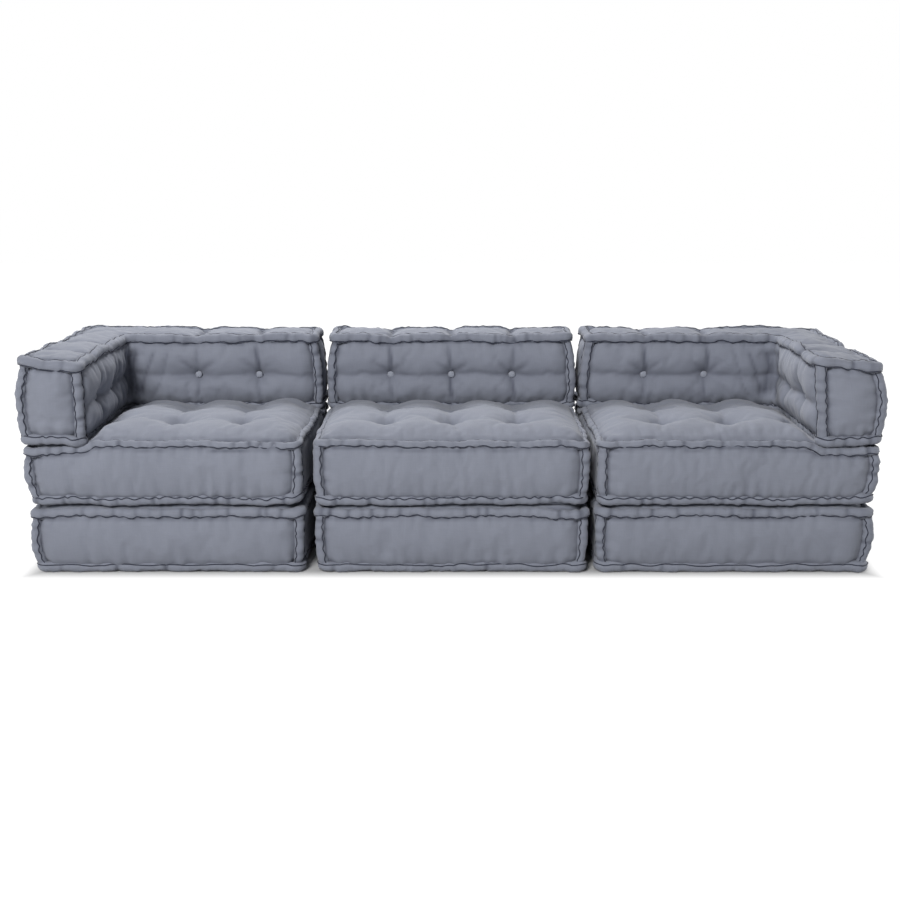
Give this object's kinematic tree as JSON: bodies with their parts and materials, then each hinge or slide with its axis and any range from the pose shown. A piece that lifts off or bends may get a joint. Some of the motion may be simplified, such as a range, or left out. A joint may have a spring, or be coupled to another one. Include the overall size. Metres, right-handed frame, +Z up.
{
  "type": "modular floor sofa",
  "caption": "Low modular floor sofa of stacked tufted canvas cushions: base blocks, seat blocks and backs, the corner backs turning into arms, with hand-stitched rolled edges.",
  "frame": {"origin": "on the floor, under the middle of the sofa at rest", "axes": "+X along the row of modules, to a seated person's left; +Y from the front to the backs; +Z up"},
  "size_m": [2.18, 0.6, 0.5646],
  "materials": {
    "canvas": "matte cotton canvas, grey-blue",
    "fibre_filling": "stuffed fibre",
    "tufting_twine": "waxed cotton twine"
  },
  "bodies": {
    "left_base": {"left_base_cover": "canvas", "left_base_filling": "fibre_filling", "left_base_edge_rolls": "canvas", "left_base_corner_rolls": "canvas"},
    "left_seat": {"left_seat_cover": "canvas", "left_seat_filling": "fibre_filling", "left_seat_edge_rolls": "canvas", "left_seat_corner_rolls": "canvas", "left_seat_buttons": "canvas", "left_seat_tufting_ties": "tufting_twine"},
    "left_back": {"left_back_cover": "canvas", "left_back_filling": "fibre_filling", "left_back_edge_rolls": "canvas", "left_back_corner_rolls": "canvas", "left_back_buttons": "canvas", "left_back_tufting_ties": "tufting_twine"},
    "middle_base": {"middle_base_cover": "canvas", "middle_base_filling": "fibre_filling", "middle_base_edge_rolls": "canvas", "middle_base_corner_rolls": "canvas"},
    "middle_seat": {"middle_seat_cover": "canvas", "middle_seat_filling": "fibre_filling", "middle_seat_edge_rolls": "canvas", "middle_seat_corner_rolls": "canvas", "middle_seat_buttons": "canvas", "middle_seat_tufting_ties": "tufting_twine"},
    "middle_back": {"middle_back_cover": "canvas", "middle_back_filling": "fibre_filling", "middle_back_edge_rolls": "canvas", "middle_back_corner_rolls": "canvas", "middle_back_buttons": "canvas", "middle_back_tufting_ties": "tufting_twine"},
    "right_base": {"right_base_cover": "canvas", "right_base_filling": "fibre_filling", "right_base_edge_rolls": "canvas", "right_base_corner_rolls": "canvas"},
    "right_seat": {"right_seat_cover": "canvas", "right_seat_filling": "fibre_filling", "right_seat_edge_rolls": "canvas", "right_seat_corner_rolls": "canvas", "right_seat_buttons": "canvas", "right_seat_tufting_ties": "tufting_twine"},
    "right_back": {"right_back_cover": "canvas", "right_back_filling": "fibre_filling", "right_back_edge_rolls": "canvas", "right_back_corner_rolls": "canvas", "right_back_buttons": "canvas", "right_back_tufting_ties": "tufting_twine"}
  },
  "joints": [
    {"name": "left_module_slide", "type": "slide", "parent": "middle_base", "child": "left_base", "axis": [-1, 0, 0], "range_m": [0, 0.5]},
    {"name": "right_module_slide", "type": "slide", "parent": "middle_base", "child": "right_base", "axis": [1, 0, 0], "range_m": [0, 0.5]},
    {"name": "left_seat_lift", "type": "slide", "parent": "left_base", "child": "left_seat", "axis": [0, 0, 1], "range_m": [0, 0.3]},
    {"name": "left_back_lift", "type": "slide", "parent": "left_seat", "child": "left_back", "axis": [0, 0, 1], "range_m": [0, 0.25]},
    {"name": "middle_seat_lift", "type": "slide", "parent": "middle_base", "child": "middle_seat", "axis": [0, 0, 1], "range_m": [0, 0.3]},
    {"name": "middle_back_lift", "type": "slide", "parent": "middle_seat", "child": "middle_back", "axis": [0, 0, 1], "range_m": [0, 0.25]},
    {"name": "right_seat_lift", "type": "slide", "parent": "right_base", "child": "right_seat", "axis": [0, 0, 1], "range_m": [0, 0.3]},
    {"name": "right_back_lift", "type": "slide", "parent": "right_seat", "child": "right_back", "axis": [0, 0, 1], "range_m": [0, 0.25]}
  ]
}
